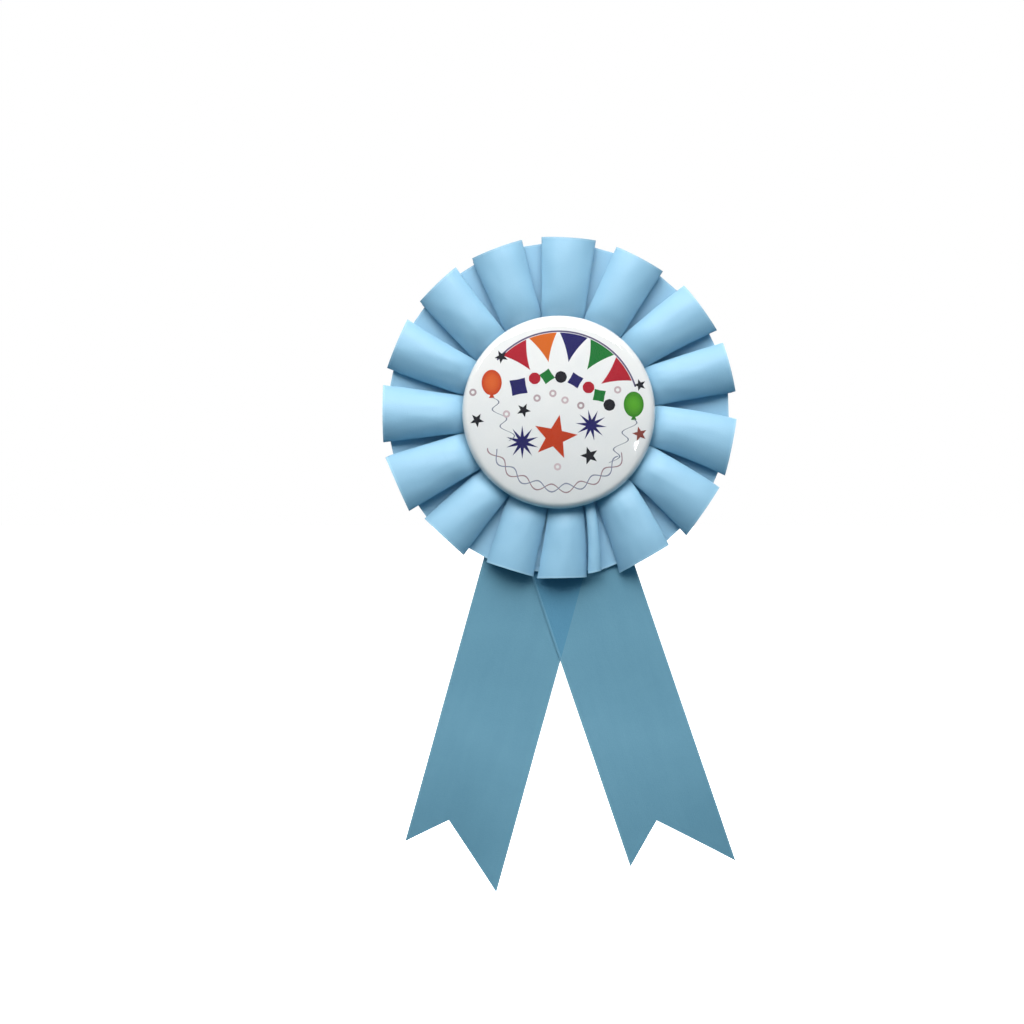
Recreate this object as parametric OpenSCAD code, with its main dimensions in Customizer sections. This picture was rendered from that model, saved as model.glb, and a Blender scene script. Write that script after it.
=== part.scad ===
// Award ribbon: a pleated satin rosette with a button in its middle, two
// swallow-tailed ribbon tails, and a bar pin with a roll-over catch behind.
// Millimetres. +Z is up, the face looks along -Y, and the origin is the middle
// of the pin's needle, which is what holds the ribbon to a garment.

/* [Ribbon] */
// Width of the satin ribbon that the pleats and the tails are made of
ribbon_w = 30.5; // [29:0.5:32]
// Thickness of one layer of ribbon
ribbon_t = 0.3; // [0.2:0.05:0.3]

/* [Rosette] */
// Radius of the rosette at the rim of its pleats
rim_r = 52.5; // [51:0.5:54]
// Width of a pleat's crest at the rim
crest_w = 15.6; // [13:0.2:17]
// Height of a pleat's crest at its highest, over the core disc
crest_h = 7.2; // [6:0.2:9]
// How far a crest bows forward between its two folded edges
crest_bow = 3.5; // [2:0.25:4]

/* [Button] */
// Radius of the button
button_r = 29; // [28.5:0.25:29.5]
// Radius of the button's rolled edge
edge_r = 2.3; // [2:0.1:2.4]
// Height of the button's face over the centre of its rolled edge
dome_h = 4.2; // [3.8:0.1:5]

/* [Tails] */
// Lean of the left tail from the vertical, in degrees
left_lean = 15.5; // [12:0.1:18]
// Lean of the right tail from the vertical, in degrees
right_lean = 18.8; // [15:0.1:20]
// Length of the shorter side of a tail, from the middle of the rosette
short_side = 138; // [120:1:150]
// Length of the longer side of a tail
long_side = 146.5; // [128:0.5:160]
// Length down to the point of the swallow-tail notch
notch_depth = 128.5; // [110:0.5:140]

/* [Discs] */
// Radius of the white card disc that closes the back
backing_r = 27; // [26:0.5:28]
// Radius of the card disc that carries the pleats
core_r = 25; // [24.5:0.25:25.5]

/* [Pin] */
// Radius of the needle's wire
needle_r = 0.4; // [0.35:0.05:0.45]
// Free length of the needle, which goes through the cloth
needle_free = 20; // [19:0.5:21]
// Distance from the back of the backing disc to the needle's axis
pin_gap = 4; // [4:0.1:4.4]
// Height of the needle over the middle of the rosette
pin_rise = 8; // [6:0.5:12]

/* [Hidden] */
$fn = 96;

SATIN = "#8cc4e4";
CARD = "#f2f1ec";
STEEL = "#c3c6c9";
GLUE = "#ece6d2";

// Heights of the layers, forward from the back of the backing disc.
backing_t = 1.2;
backing_glue_t = 0.5;
layer_gap = 0.2;
core_t = 1;
left_z = backing_t + backing_glue_t;
right_z = left_z + ribbon_t + layer_gap;
core_z = right_z + ribbon_t;
pleat_z = core_z + core_t;

// The pleats. Each entry is the clockwise angle of a crest from the top. The
// ribbon's two ends meet under the crest at tuck_under, and the last fold shows
// beside it as the narrow crest at tuck_at.
crest_at = [3, 28, 53, 76, 100, 125, 149, 179, 197, 221, 246, 269, 292, 315, 339];
// How much shorter than rim_r each crest is. The lowest ones are set further in.
crest_short = [0, 0, 0, 0, 0, 0, 1.5, 2.9, 3.2, 1.8, 0, 0, 0, 0, 0];
tuck_at = 165;
tuck_w = 7;
tuck_h = 5;
tuck_short = 3.4;
pleat_r = rim_r - ribbon_w;
floor_r = rim_r - 1;
floor_t = 0.6;
header_t = 2.6;
header_r = pleat_r + 4;
crest_root_w = 7.6;
ridge_r = 26;
ridge_h = 2.6;
ridge_top_r = 35;
rim_fall = 0.8;

// The stitching that gathers the pleats.
stitch_r = 0.2;
stitch_len = 2.6;
stitch_count = 40;
stitch_at = pleat_r + 1.6;

// The button. Its film, printed paper and steel shell are nested skins.
button_z = pleat_z + header_t + 0.6;
film_t = 0.15;
print_t = 0.15;
shell_t = 0.35;
edge_x = button_r - edge_r;
edge_z = button_z + edge_r;
dome_r = (edge_x * edge_x + dome_h * dome_h - edge_r * edge_r) / (2 * (dome_h - edge_r));
dome_z = edge_z + dome_h - dome_r;
dome_steps = 18;
film_lip = 2;
print_lip = 1.6;
shell_lip = 1;
back_plate_t = 0.4;
back_plate_z = button_z + film_t + print_t + shell_t;
back_rib_r = 18;
puck_r = 16;
// The button presses the pleats down inside press_r, to press_h over the core.
press_r = button_r + 0.3;
press_h = header_t + 0.4;

// The tails. Each is cut straight at its top, and bends at bend_z.
left_x = 5.5;
right_x = -8.7;
tail_top = 8;
left_notch_x = -4.3;
right_notch_x = -3.3;
bend_z = -rim_r - 3;
bend_clear_up = 0.8;
bend_clear_down = 0.3;

// The staple through both tails and the core disc.
wire_r = 0.25;
staple_w = 10;
staple_y = -17;
staple_clench = 3.5;
wire_hole_r = 0.3;
staple_back = backing_t + wire_r;
staple_front = pleat_z + wire_r;

// The pin, in the frame's own axes: X along the needle, Y away from the garment.
disc_y = -pin_gap;
pin_glue_t = 0.4;
bar_t = 0.6;
bar_y = disc_y + pin_glue_t;
bar_top = bar_y + bar_t;
bar_w = 5;
bar_hole_r = 1;
bar_hole_x = 5;
eye_r = 1.1;
eye_t = 0.9;
ear_gap = 1.1;
ear_t = 0.5;
rivet_r = 0.5;
rivet_head_r = 0.85;
rivet_head_t = 0.3;
hinge_x = -needle_free / 2 - sqrt(eye_r * eye_r - needle_r * needle_r);
running = 0.05;
tip_x = needle_free / 2 + 5.2;
tip_r = 0.06;
lock_x = needle_free / 2 + 0.6;
lock_len = 3.8;
flange_t = 0.3;
roller_in = 0.8;
roller_out = 1.35;
flange_r = 1.75;
house_in = roller_out + running;
house_out = 1.9;
mouth_half = 70;
slot_w = 1.1;
lever_at = -55;
lever_r = 3;
lever_t = 0.6;
lever_w = 1.6;
bar_x0 = hinge_x - 3;
bar_x1 = lock_x + lock_len + 1.6;

far = 400;

// Draws in the rosette's plane: x to the right, y up, z forward from the back
// of the backing disc.
module on_face() {
    translate([0, disc_y, -pin_rise]) rotate([90, 0, 0]) children();
}

// A long bar whose ridge goes up or down by slope degrees from a point of it.
module bowed_bar(r, h, slope) {
    bow_r = (crest_w * crest_w / 4 + crest_bow * crest_bow) / (2 * crest_bow);
    translate([0, r, h]) rotate([slope, 0, 0]) translate([0, 0, -bow_r])
        rotate([90, 0, 0]) cylinder(r = bow_r, h = 4 * rim_r, center = true);
}

// A crest: a wedge with a bowed top. Its ridge climbs steeply from under the
// button to its highest point at ridge_top_r, and then falls a little to the rim.
module crest(angle, width, height, short) {
    rotate([0, 0, -angle]) intersection() {
        linear_extrude(crest_h + 1) polygon([
            [-crest_root_w / 2, pleat_r], [crest_root_w / 2, pleat_r],
            [width / 2, rim_r - short], [-width / 2, rim_r - short]
        ]);
        bowed_bar(ridge_r, ridge_h, atan((height - ridge_h) / (ridge_top_r - ridge_r)));
        bowed_bar(ridge_top_r, height, -atan(rim_fall / (rim_r - ridge_top_r)));
    }
}

module pleated_ribbon() {
    color(SATIN) on_face() translate([0, 0, pleat_z]) difference() {
        union() {
            cylinder(r = floor_r, h = floor_t);
            cylinder(r = header_r, h = header_t);
            for (i = [0:len(crest_at) - 1]) crest(crest_at[i], crest_w, crest_h, crest_short[i]);
            crest(tuck_at, tuck_w, tuck_h, tuck_short);
        }
        translate([0, 0, -1]) cylinder(r = pleat_r, h = crest_h + 2);
        translate([0, 0, press_h]) cylinder(r = press_r, h = crest_h);
    }
}

module gather_stitches() {
    color("white") on_face() translate([0, 0, pleat_z + header_t + stitch_r])
        for (i = [0:stitch_count - 1]) rotate([0, 0, i * 360 / stitch_count])
            translate([0, stitch_at, 0]) rotate([0, 90, 0])
                cylinder(r = stitch_r, h = stitch_len, center = true, $fn = 16);
}

// The two holes that the staple's legs go through.
module staple_holes(z, thickness) {
    for (side = [-1, 1]) translate([side * staple_w / 2, staple_y, z - 1])
        cylinder(r = wire_hole_r, h = thickness + 2, $fn = 24);
}

module core_disc() {
    color(CARD) on_face() difference() {
        translate([0, 0, core_z]) cylinder(r = core_r, h = core_t);
        staple_holes(core_z, core_t);
    }
}

// The button's outline, as a half section, taken in by inset from its outside.
module button_section(inset) {
    radius = dome_r - inset;
    lean = atan2(edge_x, edge_z - dome_z);
    face = [
        for (i = [dome_steps:-1:0]) let (a = lean * i / dome_steps)
            [radius * sin(a), dome_z + radius * cos(a)]
    ];
    translate([edge_x, edge_z]) circle(r = edge_r - inset);
    polygon(concat(
        [[0, button_z + inset], [edge_x, button_z + inset], [edge_x, edge_z]],
        face
    ));
}

// One of the button's skins: it covers the face and turns under by its lip.
module button_skin(inset, thickness, lip) {
    on_face() rotate_extrude($fn = 192) difference() {
        button_section(inset);
        button_section(inset + thickness);
        translate([-1, 0]) square([edge_x - lip + 1, button_z + edge_r]);
    }
}

module button_film() {
    color("#f4f8fa", 0.4) button_skin(0, film_t, film_lip);
}

module button_print() {
    color("white") button_skin(film_t, print_t, print_lip);
}

module button_shell() {
    color(STEEL) button_skin(film_t + print_t, shell_t, shell_lip);
}

// The plate that the shell's edge is crimped over, with a pressed stiffening rib.
module button_back_plate() {
    color(STEEL) on_face() translate([0, 0, back_plate_z]) {
        cylinder(r = edge_x, h = back_plate_t);
        translate([0, 0, back_plate_t]) difference() {
            cylinder(r = back_rib_r + 0.6, h = 0.4);
            translate([0, 0, -1]) cylinder(r = back_rib_r - 0.6, h = 2);
        }
    }
}

// Hot-melt glue between the core disc and the button's back plate.
module button_glue() {
    color(GLUE) on_face() translate([0, 0, pleat_z])
        cylinder(r = puck_r, h = back_plate_z - pleat_z);
}

// A tail's outline, from its square top to its swallow-tail end.
module tail_outline(x, lean, left_len, right_len, notch_x) {
    translate([x, 0]) rotate([0, 0, lean]) polygon([
        [-ribbon_w / 2, -tail_top], [ribbon_w / 2, -tail_top],
        [ribbon_w / 2, -right_len], [notch_x, -notch_depth], [-ribbon_w / 2, -left_len]
    ]);
}

module left_outline() {
    tail_outline(left_x, -left_lean, short_side, long_side - 1, left_notch_x);
}

module right_outline() {
    tail_outline(right_x, right_lean, short_side + 1, long_side + 1, right_notch_x);
}

// The stretch of a tail above its bend, which is fastened behind the pleats.
module tail_above_bend(z) {
    color(SATIN) on_face() difference() {
        translate([0, 0, z]) linear_extrude(ribbon_t) intersection() {
            children();
            translate([-far / 2, bend_z + bend_clear_up]) square([far, far]);
        }
        staple_holes(z, ribbon_t);
    }
}

// The stretch of a tail below its bend, which swings.
module tail_below_bend(z) {
    color(SATIN) on_face() translate([0, 0, z]) linear_extrude(ribbon_t) intersection() {
        children();
        translate([-far / 2, bend_z - bend_clear_down - far]) square([far, far]);
    }
}

module left_tail_top() {
    tail_above_bend(left_z) left_outline();
}

module left_tail() {
    tail_below_bend(left_z) left_outline();
}

module right_tail_top() {
    tail_above_bend(right_z) right_outline();
}

module right_tail() {
    tail_below_bend(right_z) right_outline();
}

// A dab of glue that holds the two tails together between the staple's legs.
module tail_glue() {
    color(GLUE) on_face() translate([-4, staple_y - 6, left_z + ribbon_t]) cube([8, 12, layer_gap]);
}

module tail_staple() {
    color(STEEL) on_face() {
        translate([0, staple_y, staple_back]) rotate([0, 90, 0])
            cylinder(r = wire_r, h = staple_w, center = true, $fn = 24);
        for (side = [-1, 1]) translate([side * staple_w / 2, staple_y, 0]) {
            translate([0, 0, staple_back]) sphere(r = wire_r, $fn = 24);
            translate([0, 0, staple_back]) cylinder(r = wire_r, h = staple_front - staple_back, $fn = 24);
            translate([0, 0, staple_front]) sphere(r = wire_r, $fn = 24);
            translate([0, 0, staple_front]) rotate([0, -90 * side, 0])
                cylinder(r = wire_r, h = staple_clench, $fn = 24);
        }
    }
}

module backing_glue() {
    crown = staple_w + 4 * wire_r;
    color(GLUE) on_face() translate([0, 0, backing_t]) difference() {
        cylinder(r = core_r - 4, h = backing_glue_t);
        translate([-crown / 2, staple_y - 2 * wire_r, -1]) cube([crown, 4 * wire_r, backing_glue_t + 2]);
    }
}

module backing_disc() {
    color(CARD) on_face() cylinder(r = backing_r, h = backing_t);
}

// A round-ended plate in the plane of the backing disc.
module stadium(x0, x1, width, y, thickness) {
    translate([0, y + thickness, 0]) rotate([90, 0, 0]) union() {
        translate([x0 + width / 2, -width / 2, 0]) cube([x1 - x0 - width, width, thickness]);
        for (x = [x0 + width / 2, x1 - width / 2]) translate([x, 0, 0])
            cylinder(r = width / 2, h = thickness);
    }
}

// The bar's two holes, or the glue that comes up through them.
module bar_plugs(radius, y0, y1) {
    for (side = [-1, 1]) translate([side * bar_hole_x, y1, 0]) rotate([90, 0, 0])
        cylinder(r = radius, h = y1 - y0);
}

module pin_glue() {
    color(GLUE) {
        stadium(bar_x0 - 1.6, bar_x1 + 1.6, bar_w + 3.2, disc_y, pin_glue_t);
        bar_plugs(bar_hole_r, bar_y - pin_glue_t / 2, bar_top + 0.2);
    }
}

// An ear on each side of the needle's eye.
module hinge_ears() {
    for (side = [-1, 1]) translate([hinge_x, 0, side * (ear_gap + ear_t) / 2]) difference() {
        union() {
            cylinder(r = eye_r, h = ear_t, center = true);
            translate([-eye_r, bar_top - 0.1, -ear_t / 2]) cube([2 * eye_r, -bar_top + 0.1, ear_t]);
        }
        cylinder(r = rivet_r, h = 4, center = true);
    }
}

// The open sleeve that the roller turns in, on its post.
module catch_housing() {
    reach = 4 * house_out;
    length = lock_len - 2 * flange_t - 2 * running;
    translate([lock_x + flange_t + running, 0, 0]) rotate([0, 90, 0]) difference() {
        cylinder(r = house_out, h = length);
        translate([0, 0, -1]) cylinder(r = house_in, h = length + 2);
        translate([0, 0, -1]) linear_extrude(length + 2) polygon([
            [0, 0], [-reach * sin(mouth_half), reach * cos(mouth_half)],
            [-reach, reach], [reach, reach], [reach * sin(mouth_half), reach * cos(mouth_half)]
        ]);
    }
    translate([lock_x + flange_t + running, bar_top - 0.1, -0.9])
        cube([length, -bar_top + 0.1 - (house_in + house_out) / 2, 1.8]);
}

module pin_bar() {
    color(STEEL) union() {
        difference() {
            stadium(bar_x0, bar_x1, bar_w, bar_y, bar_t);
            bar_plugs(bar_hole_r, bar_y - 1, bar_top + 1);
        }
        hinge_ears();
        catch_housing();
    }
}

module pin_rivet() {
    reach = ear_gap / 2 + ear_t;
    color(STEEL) translate([hinge_x, 0, 0]) union() {
        cylinder(r = rivet_r, h = 2 * reach, center = true);
        for (side = [-1, 1]) translate([0, 0, side * (reach + rivet_head_t / 2)])
            cylinder(r = rivet_head_r, h = rivet_head_t, center = true);
    }
}

module pin_needle() {
    color(STEEL) difference() {
        union() {
            translate([hinge_x, 0, 0]) cylinder(r = eye_r, h = eye_t, center = true);
            translate([hinge_x, 0, 0]) rotate([0, 90, 0])
                cylinder(r = needle_r, h = needle_free / 2 - hinge_x);
            translate([needle_free / 2, 0, 0]) rotate([0, 90, 0])
                cylinder(r1 = needle_r, r2 = tip_r, h = tip_x - needle_free / 2);
        }
        translate([hinge_x, 0, 0]) cylinder(r = rivet_r + running, h = 2 * eye_t, center = true);
    }
}

// The roller: a slotted sleeve with a lever. It turns to close the housing's mouth.
module pin_lock() {
    color(STEEL) translate([lock_x, 0, 0]) difference() {
        union() {
            rotate([0, 90, 0]) cylinder(r = roller_out, h = lock_len);
            for (x = [0, lock_len - flange_t]) translate([x, 0, 0]) rotate([0, 90, 0])
                cylinder(r = flange_r, h = flange_t);
            rotate([lever_at, 0, 0]) translate([(lock_len - lever_w) / 2, roller_in + 0.2, -lever_t / 2])
                cube([lever_w, lever_r - roller_in - 0.2, lever_t]);
        }
        translate([-1, 0, 0]) rotate([0, 90, 0]) cylinder(r = roller_in, h = lock_len + 2);
        translate([-1, 0, -slot_w / 2]) cube([lock_len + 2, 2 * flange_r, slot_w]);
    }
}

pleated_ribbon();
gather_stitches();
core_disc();
button_film();
button_print();
button_shell();
button_back_plate();
button_glue();
left_tail_top();
left_tail();
right_tail_top();
right_tail();
tail_glue();
tail_staple();
backing_glue();
backing_disc();
pin_glue();
pin_bar();
pin_rivet();
pin_needle();
pin_lock();
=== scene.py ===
import math
import random

import bpy
import mathutils
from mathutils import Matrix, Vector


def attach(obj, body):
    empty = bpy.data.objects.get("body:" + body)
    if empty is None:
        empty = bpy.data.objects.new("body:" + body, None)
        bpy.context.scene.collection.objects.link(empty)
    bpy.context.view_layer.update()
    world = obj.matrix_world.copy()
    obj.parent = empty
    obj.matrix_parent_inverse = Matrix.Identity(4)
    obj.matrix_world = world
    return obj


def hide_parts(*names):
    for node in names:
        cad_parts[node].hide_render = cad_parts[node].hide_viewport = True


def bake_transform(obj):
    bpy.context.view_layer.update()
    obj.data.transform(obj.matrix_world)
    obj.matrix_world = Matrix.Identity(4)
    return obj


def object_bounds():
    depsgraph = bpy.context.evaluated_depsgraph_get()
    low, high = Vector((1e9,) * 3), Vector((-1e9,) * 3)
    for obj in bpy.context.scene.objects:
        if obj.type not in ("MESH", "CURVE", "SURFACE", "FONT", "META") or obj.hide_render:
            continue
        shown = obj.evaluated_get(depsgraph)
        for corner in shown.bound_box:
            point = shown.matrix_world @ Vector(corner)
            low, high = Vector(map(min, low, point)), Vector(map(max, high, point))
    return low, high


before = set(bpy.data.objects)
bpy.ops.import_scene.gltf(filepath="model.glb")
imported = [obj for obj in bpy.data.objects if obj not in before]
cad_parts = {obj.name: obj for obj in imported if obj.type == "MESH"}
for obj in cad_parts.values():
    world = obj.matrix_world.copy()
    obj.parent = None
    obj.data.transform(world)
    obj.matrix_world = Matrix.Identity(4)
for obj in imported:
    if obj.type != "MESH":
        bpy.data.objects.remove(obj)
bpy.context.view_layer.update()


# Core disc: a 50 mm round of white greyboard, 1 mm thick, that everything is built on.
# The tails are stapled behind it, and the pleats are stitched and glued to its front.


class Signal:
    """A shader socket in a sum; each operator adds its Math node."""

    def __init__(self, finish, socket):
        self.finish, self.socket = finish, socket

    def sum(self, operation, *others):
        return self.finish.node("Math", {"operation": operation}, dict(enumerate([self, *others])))

    def __add__(self, other):
        return self.sum("ADD", other)

    def __radd__(self, other):
        return self.sum("ADD", other)

    def __sub__(self, other):
        return self.sum("SUBTRACT", other)

    def __rsub__(self, other):
        return self.finish.node("Math", {"operation": "SUBTRACT"}, {0: other, 1: self})

    def __mul__(self, other):
        return self.sum("MULTIPLY", other)

    def __rmul__(self, other):
        return self.sum("MULTIPLY", other)

    def __truediv__(self, other):
        return self.sum("DIVIDE", other)

    def __lt__(self, other):
        return self.sum("LESS_THAN", other)

    def __gt__(self, other):
        return self.sum("GREATER_THAN", other)

    def __abs__(self):
        return self.sum("ABSOLUTE")


class Finish:
    """A material, made one node at a time."""

    def __init__(self, name):
        self.material = bpy.data.materials.new(name)
        self.material.use_nodes = True
        self.tree = self.material.node_tree
        self.tree.nodes.clear()

    def node(self, kind, settings=None, sockets=None, out=0):
        node = self.tree.nodes.new("ShaderNode" + kind)
        for setting, value in (settings or {}).items():
            if setting == "stops":
                while len(node.color_ramp.elements) < len(value):
                    node.color_ramp.elements.new(1)
                for stop, (position, colour) in zip(node.color_ramp.elements, value):
                    stop.position, stop.color = position, colour
            elif setting == "interpolation":
                node.color_ramp.interpolation = value
            else:
                setattr(node, setting, value)
        for socket, value in (sockets or {}).items():
            if isinstance(value, Signal):
                self.tree.links.new(value.socket, node.inputs[socket])
            else:
                node.inputs[socket].default_value = value
        return Signal(self, node.outputs[out]) if len(node.outputs) else None

    def place(self):
        """Where a point is on the object, in metres: X, Y and Z together."""
        return self.node("TexCoord", out="Object")

    def part(self, place, axis):
        return self.node("SeparateXYZ", {}, {0: place}, axis)

    def noise(self, place, scale, detail=3.0):
        return self.node("TexNoise", {}, {"Vector": place, "Scale": scale, "Detail": detail})

    def blend(self, share, first, second):
        return self.node("Mix", {"data_type": "RGBA"}, {0: share, 6: first, 7: second}, 2)

    def bump(self, height, distance, strength=1.0):
        return self.node("Bump", {}, {"Height": height, "Distance": distance, "Strength": strength})

    def done(self, shader):
        self.node("OutputMaterial", {}, {"Surface": shader})
        return self.material


def paint(red, green, blue):
    """A colour card's 0 to 255 values as the linear colour that a shader takes."""
    linear = [c / 12.92 if c <= 0.04045 else ((c + 0.055) / 1.055) ** 2.4
              for c in (red / 255, green / 255, blue / 255)]
    return (*linear, 1.0)


def dress(node, material):
    """Gives a carried-over CAD node its finish."""
    for material_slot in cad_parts[node].material_slots:
        material_slot.material = material


def card_finish(name, pale, dull):
    finish = Finish(name)
    place = finish.place()
    fibres = finish.noise(place, 900, 6)
    clouds = finish.noise(place, 70)
    return finish.done(finish.node("BsdfPrincipled", {}, {
        "Base Color": finish.blend(0.6 * fibres + 0.5 * clouds, dull, pale),
        "Roughness": 0.74 + 0.2 * fibres,
        "Normal": finish.bump(fibres, 0.00012, 0.6),
    }))


dress("core_disc", card_finish("greyboard", paint(232, 230, 224), paint(205, 202, 194)))


# Tails: two lengths of the same light blue satin ribbon, 30.5 mm wide, cut to a swallow tail.
# They cross behind the rosette, the left one at the back, and hang free below its rim.
ribbon_width = 0.0305
tail_top = 0.008
rosette_z = -0.008
bend_z = -0.0635
left_lean, left_top_x = -15.5, 0.0055
right_lean, right_top_x = 18.8, -0.0087


def satin_finish(name, pale, deep, edge, rough, shine, sheen, overlap_shade=None):
    """Satin: threads run along the ribbon, with a tighter woven edge on each side of it.
    Where the shade mask given is 1, the colour is darkened as painted shade, for the dimmer light that comes
    through two layers of ribbon."""
    finish = Finish(name)
    flat = finish.node("UVMap")

    def stretched(along, across):
        return finish.noise(finish.node(
            "VectorMath", {"operation": "MULTIPLY"}, {0: flat, 1: (along, across, 0.0)}), 1, 2)

    weave = 0.5 * stretched(400.0, 5200.0) + 0.5 * stretched(4200.0, 700.0)
    slubs = 0.5 * stretched(45.0, 260.0) + 0.5 * stretched(120.0, 60.0)
    woven_edge = ribbon_width / 2 - abs(finish.part(flat, 1) - ribbon_width / 2) < 0.0006
    tone = finish.blend(0.45 * weave + 0.55 * slubs, deep, pale)
    # Painted shade: the colour is darkened where two layers of ribbon let less light through.
    if overlap_shade:
        overlap_shaded_tone = finish.node("Mix", {"data_type": "RGBA", "blend_type": "MULTIPLY"},
                             {0: 1.0, 6: tone, 7: (0.70, 0.87, 0.97, 1)}, 2)
        tone = finish.blend(overlap_shade(finish), tone, overlap_shaded_tone)
    return finish.done(finish.node("BsdfPrincipled", {}, {
        "Base Color": finish.blend(0.4 * woven_edge, tone, edge),
        "Roughness": rough - 0.06 + 0.12 * weave + 0.08 * woven_edge,
        "Specular IOR Level": shine,
        "Sheen Weight": sheen,
        "Sheen Roughness": 0.4,
        "Sheen Tint": (0.7, 0.88, 1.0, 1.0),
        "Normal": finish.bump(weave + 0.5 * woven_edge, 0.00012, 0.5),
    }))


def ribbon_strip(name, columns, rows, cut, place, thickness):
    """Cloth: a flat grid, cut to shape by cut, then laid point by point by place."""
    bpy.ops.object.select_all(action="DESELECT")
    bpy.ops.mesh.primitive_grid_add(x_subdivisions=columns, y_subdivisions=rows, size=1)
    strip = bpy.context.object
    strip.name = name
    flat = [cut(point.co.x + 0.5, point.co.y + 0.5) for point in strip.data.vertices]
    for corner, uv in zip(strip.data.loops, strip.data.uv_layers.active.data):
        uv.uv = flat[corner.vertex_index]
    for point, (along, across) in zip(strip.data.vertices, flat):
        point.co = place(along, across, point.co.x + 0.5)
    solidify = strip.modifiers.new("thickness", "SOLIDIFY")
    solidify.thickness, solidify.offset = thickness, 0
    bpy.ops.object.modifier_apply(modifier=solidify.name)
    bpy.ops.object.shade_smooth_by_angle(angle=math.radians(50))
    return strip


def smooth_step(low, high, value):
    share = min(max((value - low) / (high - low), 0), 1)
    return share * share * (3 - 2 * share)


def tail_cut(left_side, right_side, notch_across, notch_depth):
    """The flat cut of a tail: square at its top, with a notch in its low end."""
    half = ribbon_width / 2
    sides = ((-half, left_side), (notch_across, notch_depth), (half, right_side))

    def cut(along, across):
        (a0, l0), (a1, l1) = sides[:2] if across <= 0.5 else sides[1:]
        share = 2 * across if across <= 0.5 else 2 * across - 1
        end = l0 + share * (l1 - l0)
        return tail_top + along * (end - tail_top), a0 + share * (a1 - a0) + half

    return cut


def tail_lay(top_x, lean, depth):
    """Lays a tail at its lean, flat at the top and in slow waves below the rim."""
    turn = math.radians(lean)

    def lay(along, across, _):
        side = across - ribbon_width / 2
        x = top_x + side * math.cos(turn) + along * math.sin(turn)
        z = rosette_z + side * math.sin(turn) - along * math.cos(turn)
        free = smooth_step(bend_z - 0.005, bend_z - 0.045, z)
        wave = 0.0006 * math.sin(95 * z + 0.4) + 0.00035 * math.sin(160 * x + 60 * z)
        cup = 0.0011 * (side / 0.015) ** 2 * smooth_step(0.09, 0.145, along)
        return x, depth - free * (wave + 0.0006) - cup, z

    return lay


def painted_shade_over_left_tail(finish):
    """Mask for painted shade on the right tail: where it lies over the left one, below the rosette."""
    place = finish.place()
    lean = math.radians(left_lean)
    x, z = finish.part(place, 0) - left_top_x, finish.part(place, 2) - rosette_z
    side = x * math.cos(lean) + z * math.sin(lean)
    return abs(side) < ribbon_width / 2


# The right tail gets painted shade where it lies over the left one.
for side, top_x, lean, depth, short_side, long_side, notch_across, overlap_shade in (
    ("left", left_top_x, left_lean, -0.00585, 0.138, 0.1455, -0.0043, None),
    ("right", right_top_x, right_lean, -0.00635, 0.139, 0.1475, -0.0033, painted_shade_over_left_tail),
):
    cut = tail_cut(short_side, long_side, notch_across, 0.1285)
    tail = ribbon_strip(side + "_tail_ribbon", 110, 24, cut, tail_lay(top_x, lean, depth), 0.0003)
    tail.data.materials.append(satin_finish(
        side + "_tail_satin", paint(112, 162, 184), paint(90, 140, 164), paint(120, 166, 186),
        0.62, 0.3, 0.08, overlap_shade))
    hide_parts(side + "_tail_top", side + "_tail")
    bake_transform(tail)


# Staple and tail glue: a bent steel wire through both tails and the core disc, clenched in
# front, and a dab of hot-melt glue between the tails to keep them at their angle.


def metal_finish(name, bright, dull, rough, grain):
    finish = Finish(name)
    place = finish.place()
    specks = finish.noise(place, grain, 4)
    smears = finish.noise(place, 90)
    return finish.done(finish.node("BsdfPrincipled", {}, {
        "Base Color": finish.blend(0.5 * specks + 0.5 * smears, dull, bright),
        "Metallic": 1.0,
        "Roughness": rough + 0.16 * smears + 0.08 * specks,
        "Normal": finish.bump(specks, 0.00004, 0.4),
    }))


def hot_melt_finish(name):
    finish = Finish(name)
    place = finish.place()
    lumps = finish.noise(place, 260, 2)
    return finish.done(finish.node("BsdfPrincipled", {}, {
        "Base Color": finish.blend(lumps, paint(214, 208, 188), paint(240, 236, 222)),
        "Roughness": 0.28 + 0.2 * lumps,
        "Coat Weight": 0.4,
        "Coat Roughness": 0.2,
        "Normal": finish.bump(lumps, 0.0004, 0.7),
    }))


hot_melt = hot_melt_finish("hot_melt")
dress("tail_glue", hot_melt)
dress("tail_staple", metal_finish("staple_wire", paint(196, 196, 192), paint(150, 150, 148), 0.2, 1500))


# Pleated ribbon: one length of satin folded by hand into fifteen box pleats and a narrow
# last one, no two alike. The stitches draw its inner edge in, so that the crests fan out.
crests = (
    # turn at the rim, turn and half spread under the button (degrees clockwise from the
    # top), half width at the rim and reach from the middle (mm), and how far it is tipped
    (178.8, 175.7, 10.5, 7.6, 49.6), (197.2, 198.6, 12.4, 7.5, 49.3), (222.8, 222.7, 11.7, 8.0, 50.7),
    (246.2, 246.2, 11.8, 8.7, 52.9), (269.8, 269.1, 11.1, 8.6, 52.6), (293.0, 291.2, 11.0, 7.9, 52.6),
    (316.6, 314.3, 12.1, 7.4, 52.8), (339.4, 338.3, 11.9, 8.1, 52.4), (363.4, 362.75, 12.5, 8.0, 52.2),
    (387.9, 387.5, 12.2, 7.7, 52.0), (413.6, 411.15, 11.4, 8.2, 52.9), (435.2, 434.3, 11.7, 7.5, 53.0),
    (461.4, 458.0, 12.0, 8.5, 52.7), (484.4, 481.8, 11.8, 8.6, 52.5), (509.9, 505.7, 12.1, 8.4, 50.9, -0.2),
    (527.3, 521.4, 3.0, 2.1, 49.1),
)
inner_r, button_r, valley_r = 0.022, 0.029, 0.0512
core_front = -0.0075
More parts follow.
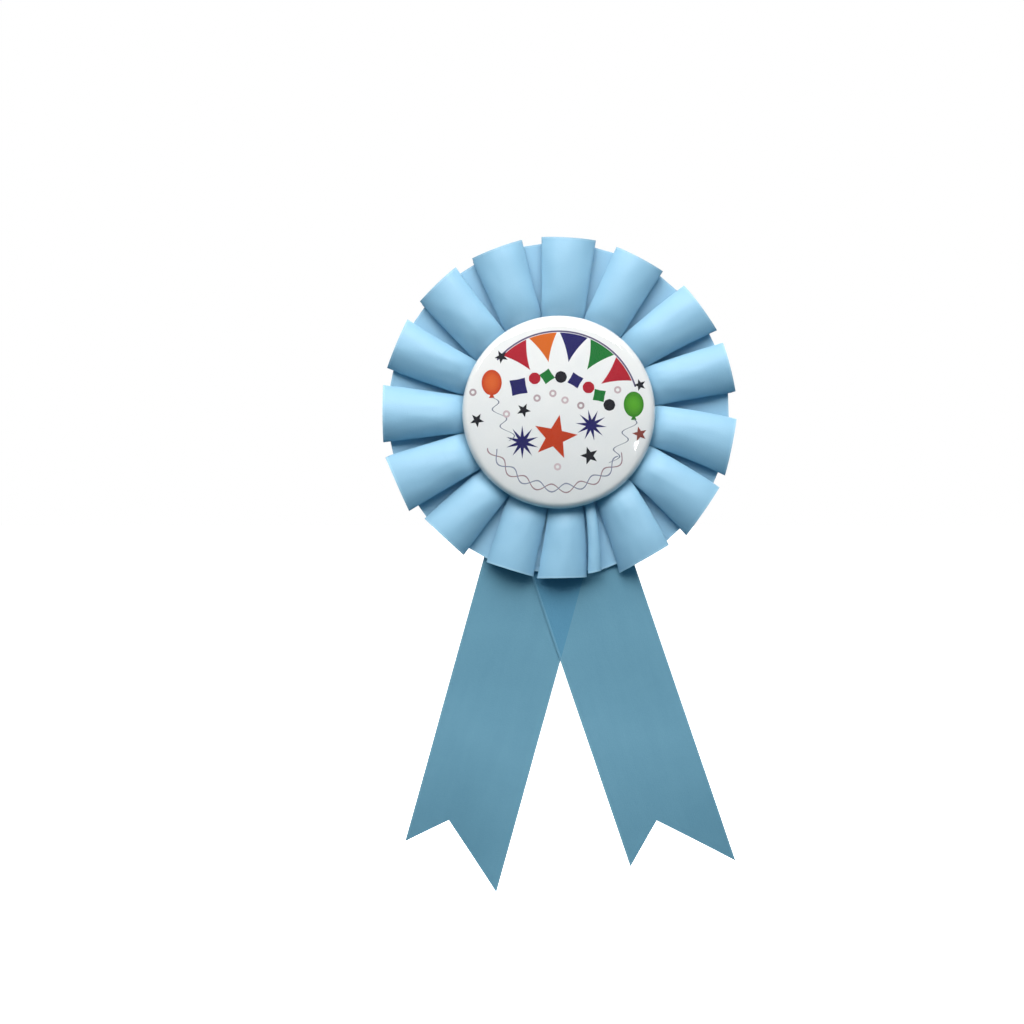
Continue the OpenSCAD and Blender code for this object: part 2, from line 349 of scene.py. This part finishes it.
crest_heights = (
    (0.022, 0.0024), (0.024, 0.0025), (0.027, 0.0029), (0.0285, 0.0036), (0.030, 0.0049),
    (0.032, 0.0061), (0.035, 0.0069), (0.039, 0.0072), (0.045, 0.0071), (0.049, 0.0068),
    (0.0525, 0.0063))
irregular = random.Random(7)


def between(table, value):
    """A value read off a short table of (place, value) rows, straight between them."""
    for (p0, v0), (p1, v1) in zip(table, table[1:]):
        if value <= p1 or (p1, v1) == table[-1]:
            return v0 + (v1 - v0) * (value - p0) / (p1 - p0)


class Pleat:
    """One crest's sizes, each a little off its neighbours' as hand folding leaves it."""

    def __init__(self, turn, root_turn, root_spread, half, rim, tipped=0.0):
        jitter = lambda most: irregular.uniform(-most, most)
        self.turn, self.root_turn = math.radians(turn), math.radians(root_turn)
        self.rim, self.narrow = rim / 1000, half < 4
        self.lift, self.bow, self.roll = 1 + jitter(0.06), 1 + jitter(0.14), tipped + jitter(0.08)
        self.lift *= 0.74 if rim < 50 else 0.9 if rim < 51 else 1
        self.widths = (
            (inner_r, math.radians(root_spread) * 0.0205),
            (button_r, math.radians(root_spread) * 0.0288 - 0.0002),
            (self.rim, half / 1000 - 0.0002))
        self.turns = ((inner_r, self.root_turn), (button_r, self.root_turn), (self.rim, self.turn))

    def middle(self, r):
        return between(self.turns, r)

    def half_width(self, r):
        return between(self.widths, r)

    def half_section(self, r, side):
        """Points (sideways, height, share of the valley) from the crest's middle to its valley."""
        half = self.half_width(r)
        top = between(crest_heights, r) * self.lift
        sag = self.bow * between(
            ((inner_r, 0.0012), (button_r, 0.0019), (0.036, 0.0031), (0.0525, 0.0036)), r)
        fold = between(((inner_r, 0.00035), (button_r, 0.0005), (0.0525, 0.0009)), r)
        turn = between(((inner_r, 0.00015), (button_r, 0.0002), (0.0525, 0.0004)), r)
        under = min(0.0034, 0.8 * half)
        if self.narrow:
            top, sag, fold = 0.85 * top, 0.3 * sag, 0.5 * fold
        tilt = self.roll * side
        spread = 2 * math.atan(sag / half)
        points = []
        for i in range(15):
            lean = spread * i / 14
            x = half * math.sin(lean) / math.sin(spread)
            z = top - sag * (1 - math.cos(lean)) / (1 - math.cos(spread)) + tilt * x
            points.append((x, z, 0))
        first = math.atan(tilt) - spread
        x, z, _ = points[-1]
        centre_x, centre_z = x + fold * math.sin(first), z - fold * math.cos(first)
        low_x, low_z = half - under, 0.00015 + turn
        last = math.radians(-130)
        for _ in range(4):
            from_x, from_z = centre_x - fold * math.sin(last), centre_z + fold * math.cos(last)
            to_x, to_z = low_x + turn * math.sin(last), low_z - turn * math.cos(last)
            last = math.atan2(to_z - from_z, to_x - from_x)
        for i in range(1, 7):
            heading = first + (last - first) * i / 6
            points.append((centre_x - fold * math.sin(heading), centre_z + fold * math.cos(heading), 0))
        for i in range(1, 7):
            share = i / 6
            points.append((from_x + (to_x - from_x) * share, from_z + (to_z - from_z) * share,
                           smooth_step(0, 1, share)))
        for i in range(1, 4):
            heading = last * (1 - i / 3)
            points.append((low_x + turn * math.sin(heading), low_z - turn * math.cos(heading), 1))
        return points


pleats = [Pleat(*crest) for crest in crests]


def pleat_path(r_share):
    """The strip's path at one share of its width, as points (x, y, z) from end to end."""
    path = []

    def put(turn, axis, r, height):
        sideways = r * math.tan(turn - axis)
        path.append((
            sideways * math.cos(axis) + r * math.sin(axis),
            core_front - height,
            rosette_z - sideways * math.sin(axis) + r * math.cos(axis),
        ))

    def crest_r(pleat):
        return inner_r + r_share * (pleat.rim - inner_r)

    for k, pleat in enumerate(pleats):
        r = crest_r(pleat)
        for side in (-1, 1):
            last = not 0 <= k + side < len(pleats)
            neighbour = pleats[k] if last else pleats[k + side]
            valley = pleat.turn + side * math.radians(10) if last else (pleat.turn + neighbour.turn) / 2
            rim_r = min(valley_r, (pleat.rim + neighbour.rim) / 2 - 0.0013)
            floor_r = inner_r + r_share * (rim_r - inner_r)
            section = pleat.half_section(r, side)
            for sideways, height, share in section[::-1] if side < 0 else section[1:]:
                if last and side < 0 and share == 1:
                    continue
                turn = pleat.middle(r) + side * math.atan2(sideways, r)
                soft = (mathutils.noise.noise((turn * 6, r * 90, k * 3.1)) * 0.00035
                        + mathutils.noise.noise((turn * 16, r * 160, k * 1.7)) * 0.00012) * (1 - share)
                soft *= smooth_step(button_r, 0.034, r)
                axis = pleat.turn + (valley - pleat.turn) * share
                put(turn, axis, r + (floor_r - r) * share, height + soft)
        turn = pleat.middle(r) + math.atan2(section[-1][0], r)
        if last:
            end = turn + math.radians(8)
        else:
            end_r = crest_r(neighbour)
            end = neighbour.middle(end_r) - math.atan2(neighbour.half_section(end_r, -1)[-1][0], end_r)
        for i in range(1, 8):
            put(turn + (end - turn) * i / 8, valley, floor_r, 0.00015)
    return path


rows = 26
paths = [pleat_path(row / rows) for row in range(rows + 1)]
columns = len(paths[0]) - 1
steps = [0.0]
for a, b in zip(paths[-1], paths[-1][1:]):
    steps.append(steps[-1] + math.dist(a, b))

pleated = ribbon_strip(
    "pleated_satin", columns, rows,
    lambda along, across: (steps[round(along * columns)], across * ribbon_width),
    lambda along, across, share: paths[round(across / ribbon_width * rows)][round(share * columns)],
    0.00025)
pleated.data.materials.append(satin_finish(
    "pleat_satin", paint(150, 195, 221), paint(136, 184, 213), paint(168, 208, 230), 0.52, 0.55, 0.08))
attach(pleated, "rosette")
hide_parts("pleated_ribbon")


# Gathering stitches: a running stitch of white thread round the pleats' inner edge.
thread = Finish("thread")
twist = thread.noise(thread.place(), 4200, 2)
dress("gather_stitches", thread.done(thread.node("BsdfPrincipled", {}, {
    "Base Color": thread.blend(twist, paint(196, 210, 220), paint(236, 242, 246)),
    "Roughness": 0.6 + 0.2 * twist,
    "Normal": thread.bump(twist, 0.0001, 0.6),
})))


# Button: a 58 mm tin badge. A domed steel shell is covered with a printed paper disc and a
# clear film, and its rim is crimped over a flat back plate, glued to the core disc.
tinplate = metal_finish("tinplate", paint(206, 208, 210), paint(170, 172, 176), 0.22, 700)
for node in ("button_shell", "button_back_plate"):
    dress(node, tinplate)
dress("button_glue", hot_melt)

edge_r, edge_centre, edge_forward = 0.0023, 0.0267, 0.009
dome_rise = 0.0042
dome_r = (edge_centre ** 2 + dome_rise ** 2 - edge_r ** 2) / (2 * (dome_rise - edge_r))
dome_centre = edge_forward + dome_rise - dome_r


def button_skin(name, inset, thickness, lip, steps):
    """A skin over the button's face that turns under its rim: a section spun round the middle."""
    lean = math.atan2(edge_centre, edge_forward - dome_centre)

    def side(depth):
        face = [((dome_r - depth) * math.sin(lean * i / 14),
                 dome_centre + (dome_r - depth) * math.cos(lean * i / 14)) for i in range(15)]
        reach = edge_r - depth
        first, last = math.pi / 2 - lean, -math.pi / 2 - math.asin(min(lip / reach, 1))
        rim = [(edge_centre + reach * math.cos(first + (last - first) * i / 16),
                edge_forward + reach * math.sin(first + (last - first) * i / 16)) for i in range(1, 17)]
        return face + rim

    outline = side(inset) + side(inset + thickness)[::-1]
    bpy.ops.object.select_all(action="DESELECT")
    bpy.ops.mesh.primitive_plane_add(size=0.001, location=(0, 0, 0))
    skin = bpy.context.object
    skin.name = name
    bpy.ops.object.mode_set(mode="EDIT")
    bpy.ops.mesh.merge(type="CENTER")
    x, forward = outline[0]
    bpy.ops.transform.translate(value=(x, -0.004 - forward, rosette_z))
    for (x0, f0), (x1, f1) in zip(outline, outline[1:]):
        bpy.ops.mesh.extrude_region_move(TRANSFORM_OT_translate={"value": (x1 - x0, f0 - f1, 0)})
    bpy.ops.mesh.select_all(action="SELECT")
    bpy.ops.mesh.spin(steps=steps, angle=2 * math.pi, center=(0, 0, rosette_z), axis=(0, 1, 0))
    bpy.ops.mesh.select_all(action="SELECT")
    bpy.ops.mesh.remove_doubles(threshold=1e-7)
    bpy.ops.mesh.normals_make_consistent(inside=False)
    bpy.ops.object.mode_set(mode="OBJECT")
    bpy.ops.object.shade_smooth_by_angle(angle=math.radians(40))
    return skin


printed = button_skin("button_printed_disc", 0.00017, 0.00013, 0.0016, 144)
ink = Finish("button_print")
place = ink.place()
across, up = ink.part(place, 0) * 1000, (ink.part(place, 2) - rosette_z) * 1000
from_middle = (across * across + up * up).sum("SQRT")
turn_from_top = across.sum("ARCTAN2", up)
art = ink.blend(ink.noise(place, 120), paint(234, 233, 231), paint(227, 228, 229))


def ink_on(art, mask, colour):
    return ink.blend(mask, art, colour)


def ink_star(x, y, size, waist, points, turn=0.0):
    """A star's mask: the fold of its turn about the middle, cut by one straight edge."""
    right, high = across - x, up - y
    reach = (right * right + high * high).sum("SQRT")
    fold = (right.sum("ARCTAN2", high) + turn).sum("PINGPONG", math.pi / points)
    corner = math.pi / points
    tip, dent = (size, 0.0), (waist * math.cos(corner), waist * math.sin(corner))
    edge = math.atan2(tip[0] - dent[0], dent[1] - tip[1])
    return reach * (fold - edge).sum("COSINE") < size * math.cos(edge)


red, orange, navy, green = paint(172, 14, 38), paint(206, 98, 14), paint(22, 16, 92), paint(8, 112, 42)
black, rust = paint(12, 10, 24), paint(190, 56, 10)
degrees_round = turn_from_top * (180 / math.pi)
flag = (degrees_round + 46) / 22.8
flag_shape = abs(flag.sum("FRACT") - 0.5) * 22.8 < (from_middle - 15.0) * 1.2
bunting = (from_middle < 23.6) * (abs(degrees_round - 11) < 56.9) * flag_shape
art = ink_on(art, bunting, ink.node(
    "ValToRGB", {"stops": [(0.0, red), (0.2, orange), (0.4, navy), (0.6, green), (0.8, red)],
                 "interpolation": "CONSTANT"}, {0: flag / 5}))
cord = (abs(from_middle - 24.0) < 0.25) * (abs(degrees_round - 11) < 61)
art = ink_on(art, cord, paint(88, 76, 112))
for x, y, size, points, colour in (
    (-12.0, 7.4, 3.3, 4, navy), (-7.2, 9.9, 1.8, 8, red), (-3.5, 10.5, 2.4, 4, green),
    (0.6, 10.3, 1.8, 8, black), (4.9, 9.3, 2.5, 4, navy), (8.8, 7.2, 1.8, 8, red),
    (12.0, 4.8, 2.4, 4, green), (15.0, 2.0, 1.8, 8, black),
):
    waist = size * (0.66 if points == 4 else 0.96)
    art = ink_on(art, ink_star(x, y, size, waist, points, x / 20), colour)
for x, y, size, colour in (
    (-17.1, 16.4, 2.1, black), (-10.5, 0.4, 2.2, black), (-24.4, -2.5, 2.2, black), (9.1, -13.1, 2.8, black),
    (24.2, 8.0, 1.9, black), (24.1, -6.6, 2.3, paint(136, 60, 50)),
):
    art = ink_on(art, ink_star(x, y, size, size * 0.42, 5, x), colour)
art = ink_on(art, ink_star(-10.9, -9.1, 5.0, 1.7, 10), navy)
art = ink_on(art, ink_star(9.6, -4.0, 4.7, 1.6, 10, 0.2), navy)
art = ink_on(art, ink_star(-1.2, -7.6, 6.8, 2.8, 5, -0.21), rust)
for x, y, end, pale, colour in (
    (-20.0, 8.7, 6.0, paint(214, 96, 36), rust),
    (22.3, 2.2, -6.6, paint(82, 162, 30), paint(44, 122, 18)),
):
    right, high = (across - x) / 3.0, (up - y) / 3.8
    swell = right * right + high * high
    art = ink_on(art, ink_star(x, y - 4.1, 1.0, 0.55, 3), colour)
    art = ink_on(art, swell < 1, ink.blend(swell, pale, colour))
    below = y - 4.4 - up
    string = abs(across - x - end / 13 * below - 1.5 * (below * 1.25).sum("SINE")) < 0.2
    art = ink_on(art, string * (below > 0.0) * (below < 13.0), paint(120, 126, 140))
for x, y, tone in (
    (-25.6, 5.8, 150), (-15.6, -0.7, 180), (-6.5, 4.0, 160), (6.5, 1.8, 150), (-0.4, -16.4, 190),
    (17.5, 6.5, 172), (-1.8, 5.4, 168), (1.8, 3.4, 178),
):
    right, high = across - x, up - y
    ring = abs((right * right + high * high).sum("SQRT") - 0.8) < 0.3
    art = ink_on(art, ring, paint(tone + 20, tone, tone + 4))
low_turn = across.sum("ARCTAN2", 0 - up) * (180 / math.pi)
sway = (low_turn * (math.pi / 11)).sum("SINE") * 1.25
for middle, way, end, colour in (
    (22.9, 1.0, 60, paint(158, 128, 134)), (22.7, -1.0, 56, paint(132, 136, 156)),
):
    curl = abs(from_middle - middle - way * sway) < 0.2
    art = ink_on(art, curl * (abs(low_turn + 3) < end), colour)
printed.data.materials.append(ink.done(ink.node("BsdfPrincipled", {}, {
    "Base Color": art,
    "Roughness": 0.5 + 0.08 * ink.noise(place, 1400),
    "Specular IOR Level": 0.1,
})))
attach(printed, "rosette")
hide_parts("button_print")

film = button_skin("button_clear_film", 0.0, 0.00015, 0.002, 144)
clear = Finish("button_film")
ripple = clear.noise(clear.place(), 60, 1)
gloss = clear.node("BsdfAnisotropic", {}, {
    "Color": (1, 1, 1, 1), "Roughness": 0.04, "Normal": clear.bump(ripple, 0.0001, 0.3)})
edge_on = clear.node("LayerWeight", {}, {"Blend": 0.5}, 1)
film.data.materials.append(clear.done(clear.node("MixShader", {}, {
    0: 0.03 + 0.7 * edge_on.sum("POWER", 4.0) * (0.9 + 0.2 * ripple),
    1: clear.node("BsdfTransparent", {}, {"Color": (1, 1, 1, 1)}),
    2: gloss,
})))
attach(film, "rosette")
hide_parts("button_film")


# Backing disc: a 54 mm round of white card glued over the back, which hides the staple.
dress("backing_glue", hot_melt)
dress("backing_disc", card_finish("white_card", paint(246, 245, 241), paint(226, 224, 218)))


# Bar pin: a stamped and nickel-plated steel bar glued to the backing disc, with a riveted
# hinge at one end and a rolled catch at the other, a steel needle, and a turning lock.
dress("pin_glue", hot_melt)
nickel = metal_finish("nickel", paint(214, 210, 202), paint(176, 172, 164), 0.14, 1100)
for node in ("pin_bar", "pin_rivet", "pin_lock"):
    dress(node, nickel)
dress("pin_needle", metal_finish("needle_steel", paint(216, 218, 220), paint(186, 188, 192), 0.08, 2400))


# Studio: a pale floor, soft light from above and in front, and one small lamp for the
# glint on the button. The camera looks straight at the rosette's front.
floor_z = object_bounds()[0].z - 0.06
bpy.ops.object.select_all(action="DESELECT")
bpy.ops.mesh.primitive_plane_add(size=60, location=(0, 0, floor_z))
floor = bpy.context.object
floor.name = "studio_floor"
floor.visible_diffuse = floor.visible_glossy = False
paper = Finish("studio_floor")
floor.data.materials.append(paper.done(paper.node("BsdfPrincipled", {}, {
    "Base Color": paper.blend(paper.noise(paper.place(), 3), paint(250, 250, 250), paint(253, 253, 253)),
    "Roughness": 0.95,
    "Emission Color": (1, 1, 1, 1),
    "Emission Strength": 1.0,
})))

world = bpy.data.worlds.new("studio")
bpy.context.scene.world = world
world.use_nodes = True
sky, links = world.node_tree.nodes, world.node_tree.links
sky.clear()
direction = sky.new("ShaderNodeTexCoord")
split = sky.new("ShaderNodeSeparateXYZ")
links.new(direction.outputs["Generated"], split.inputs[0])
ramp = sky.new("ShaderNodeValToRGB")
heights = ramp.color_ramp.elements
heights[0].position, heights[0].color = 0.42, (0.02, 0.20, 0.30, 1)
heights[1].position, heights[1].color = 0.95, (1.0, 0.98, 0.95, 1)
raise_up = sky.new("ShaderNodeMath")
raise_up.operation = "MULTIPLY_ADD"
raise_up.inputs[1].default_value = raise_up.inputs[2].default_value = 0.5
links.new(split.outputs[2], raise_up.inputs[0])
links.new(raise_up.outputs[0], ramp.inputs[0])
path = sky.new("ShaderNodeLightPath")
lit = sky.new("ShaderNodeBackground")
lit.inputs[1].default_value = 0.55
links.new(ramp.outputs[0], lit.inputs[0])
seen = lit
for ray, colour in (("Is Glossy Ray", (0.32, 0.33, 0.34, 1)), ("Is Camera Ray", (1, 1, 1, 1))):
    plain, either = sky.new("ShaderNodeBackground"), sky.new("ShaderNodeMixShader")
    plain.inputs[0].default_value = colour
    links.new(path.outputs[ray], either.inputs[0])
    links.new(seen.outputs[0], either.inputs[1])
    links.new(plain.outputs[0], either.inputs[2])
    seen = either
links.new(seen.outputs[0], sky.new("ShaderNodeOutputWorld").inputs[0])


def soft_light(name, place, aim, size, watts, colour=(1, 1, 1)):
    lamp = bpy.data.lights.new(name, "AREA")
    lamp.shape, (lamp.size, lamp.size_y) = "RECTANGLE", size
    lamp.energy, lamp.color = watts, colour
    holder = bpy.data.objects.new(name, lamp)
    bpy.context.scene.collection.objects.link(holder)
    holder.location = place
    away = holder.location - Vector(aim)
    holder.rotation_euler = away.to_track_quat("Z", "Y").to_euler()
    return holder


soft_light("key_light", (-0.10, -0.50, 0.54), (0, 0, -0.03), (0.9, 0.7), 7.8, (1.0, 0.97, 0.94))
soft_light("fill_light", (0.15, -0.85, 0.75), (0, 0, -0.05), (1.2, 0.5), 4.0, (1.0, 0.98, 0.96))
soft_light("back_light", (0.2, 1.0, 0.5), (0, 0, -0.05), (1.2, 0.9), 11.0)
soft_light("glint_lamp", (0.234, -0.70, -0.076), (0.0232, -0.016, -0.018), (0.018, 0.026), 0.06)

lens = bpy.data.cameras.new("camera")
lens.lens, lens.sensor_width = 90, 36
camera = bpy.data.objects.new("camera", lens)
bpy.context.scene.collection.objects.link(camera)
view_width, rim_y = 0.3072, -0.010
camera.location = (-0.01395, rim_y - view_width * lens.lens / lens.sensor_width, -0.03785)
camera.rotation_euler = (math.pi / 2, 0, 0)
lens.clip_start, lens.clip_end = 0.01, 100
bpy.context.scene.camera = camera
bpy.context.scene.view_settings.view_transform = "Standard"
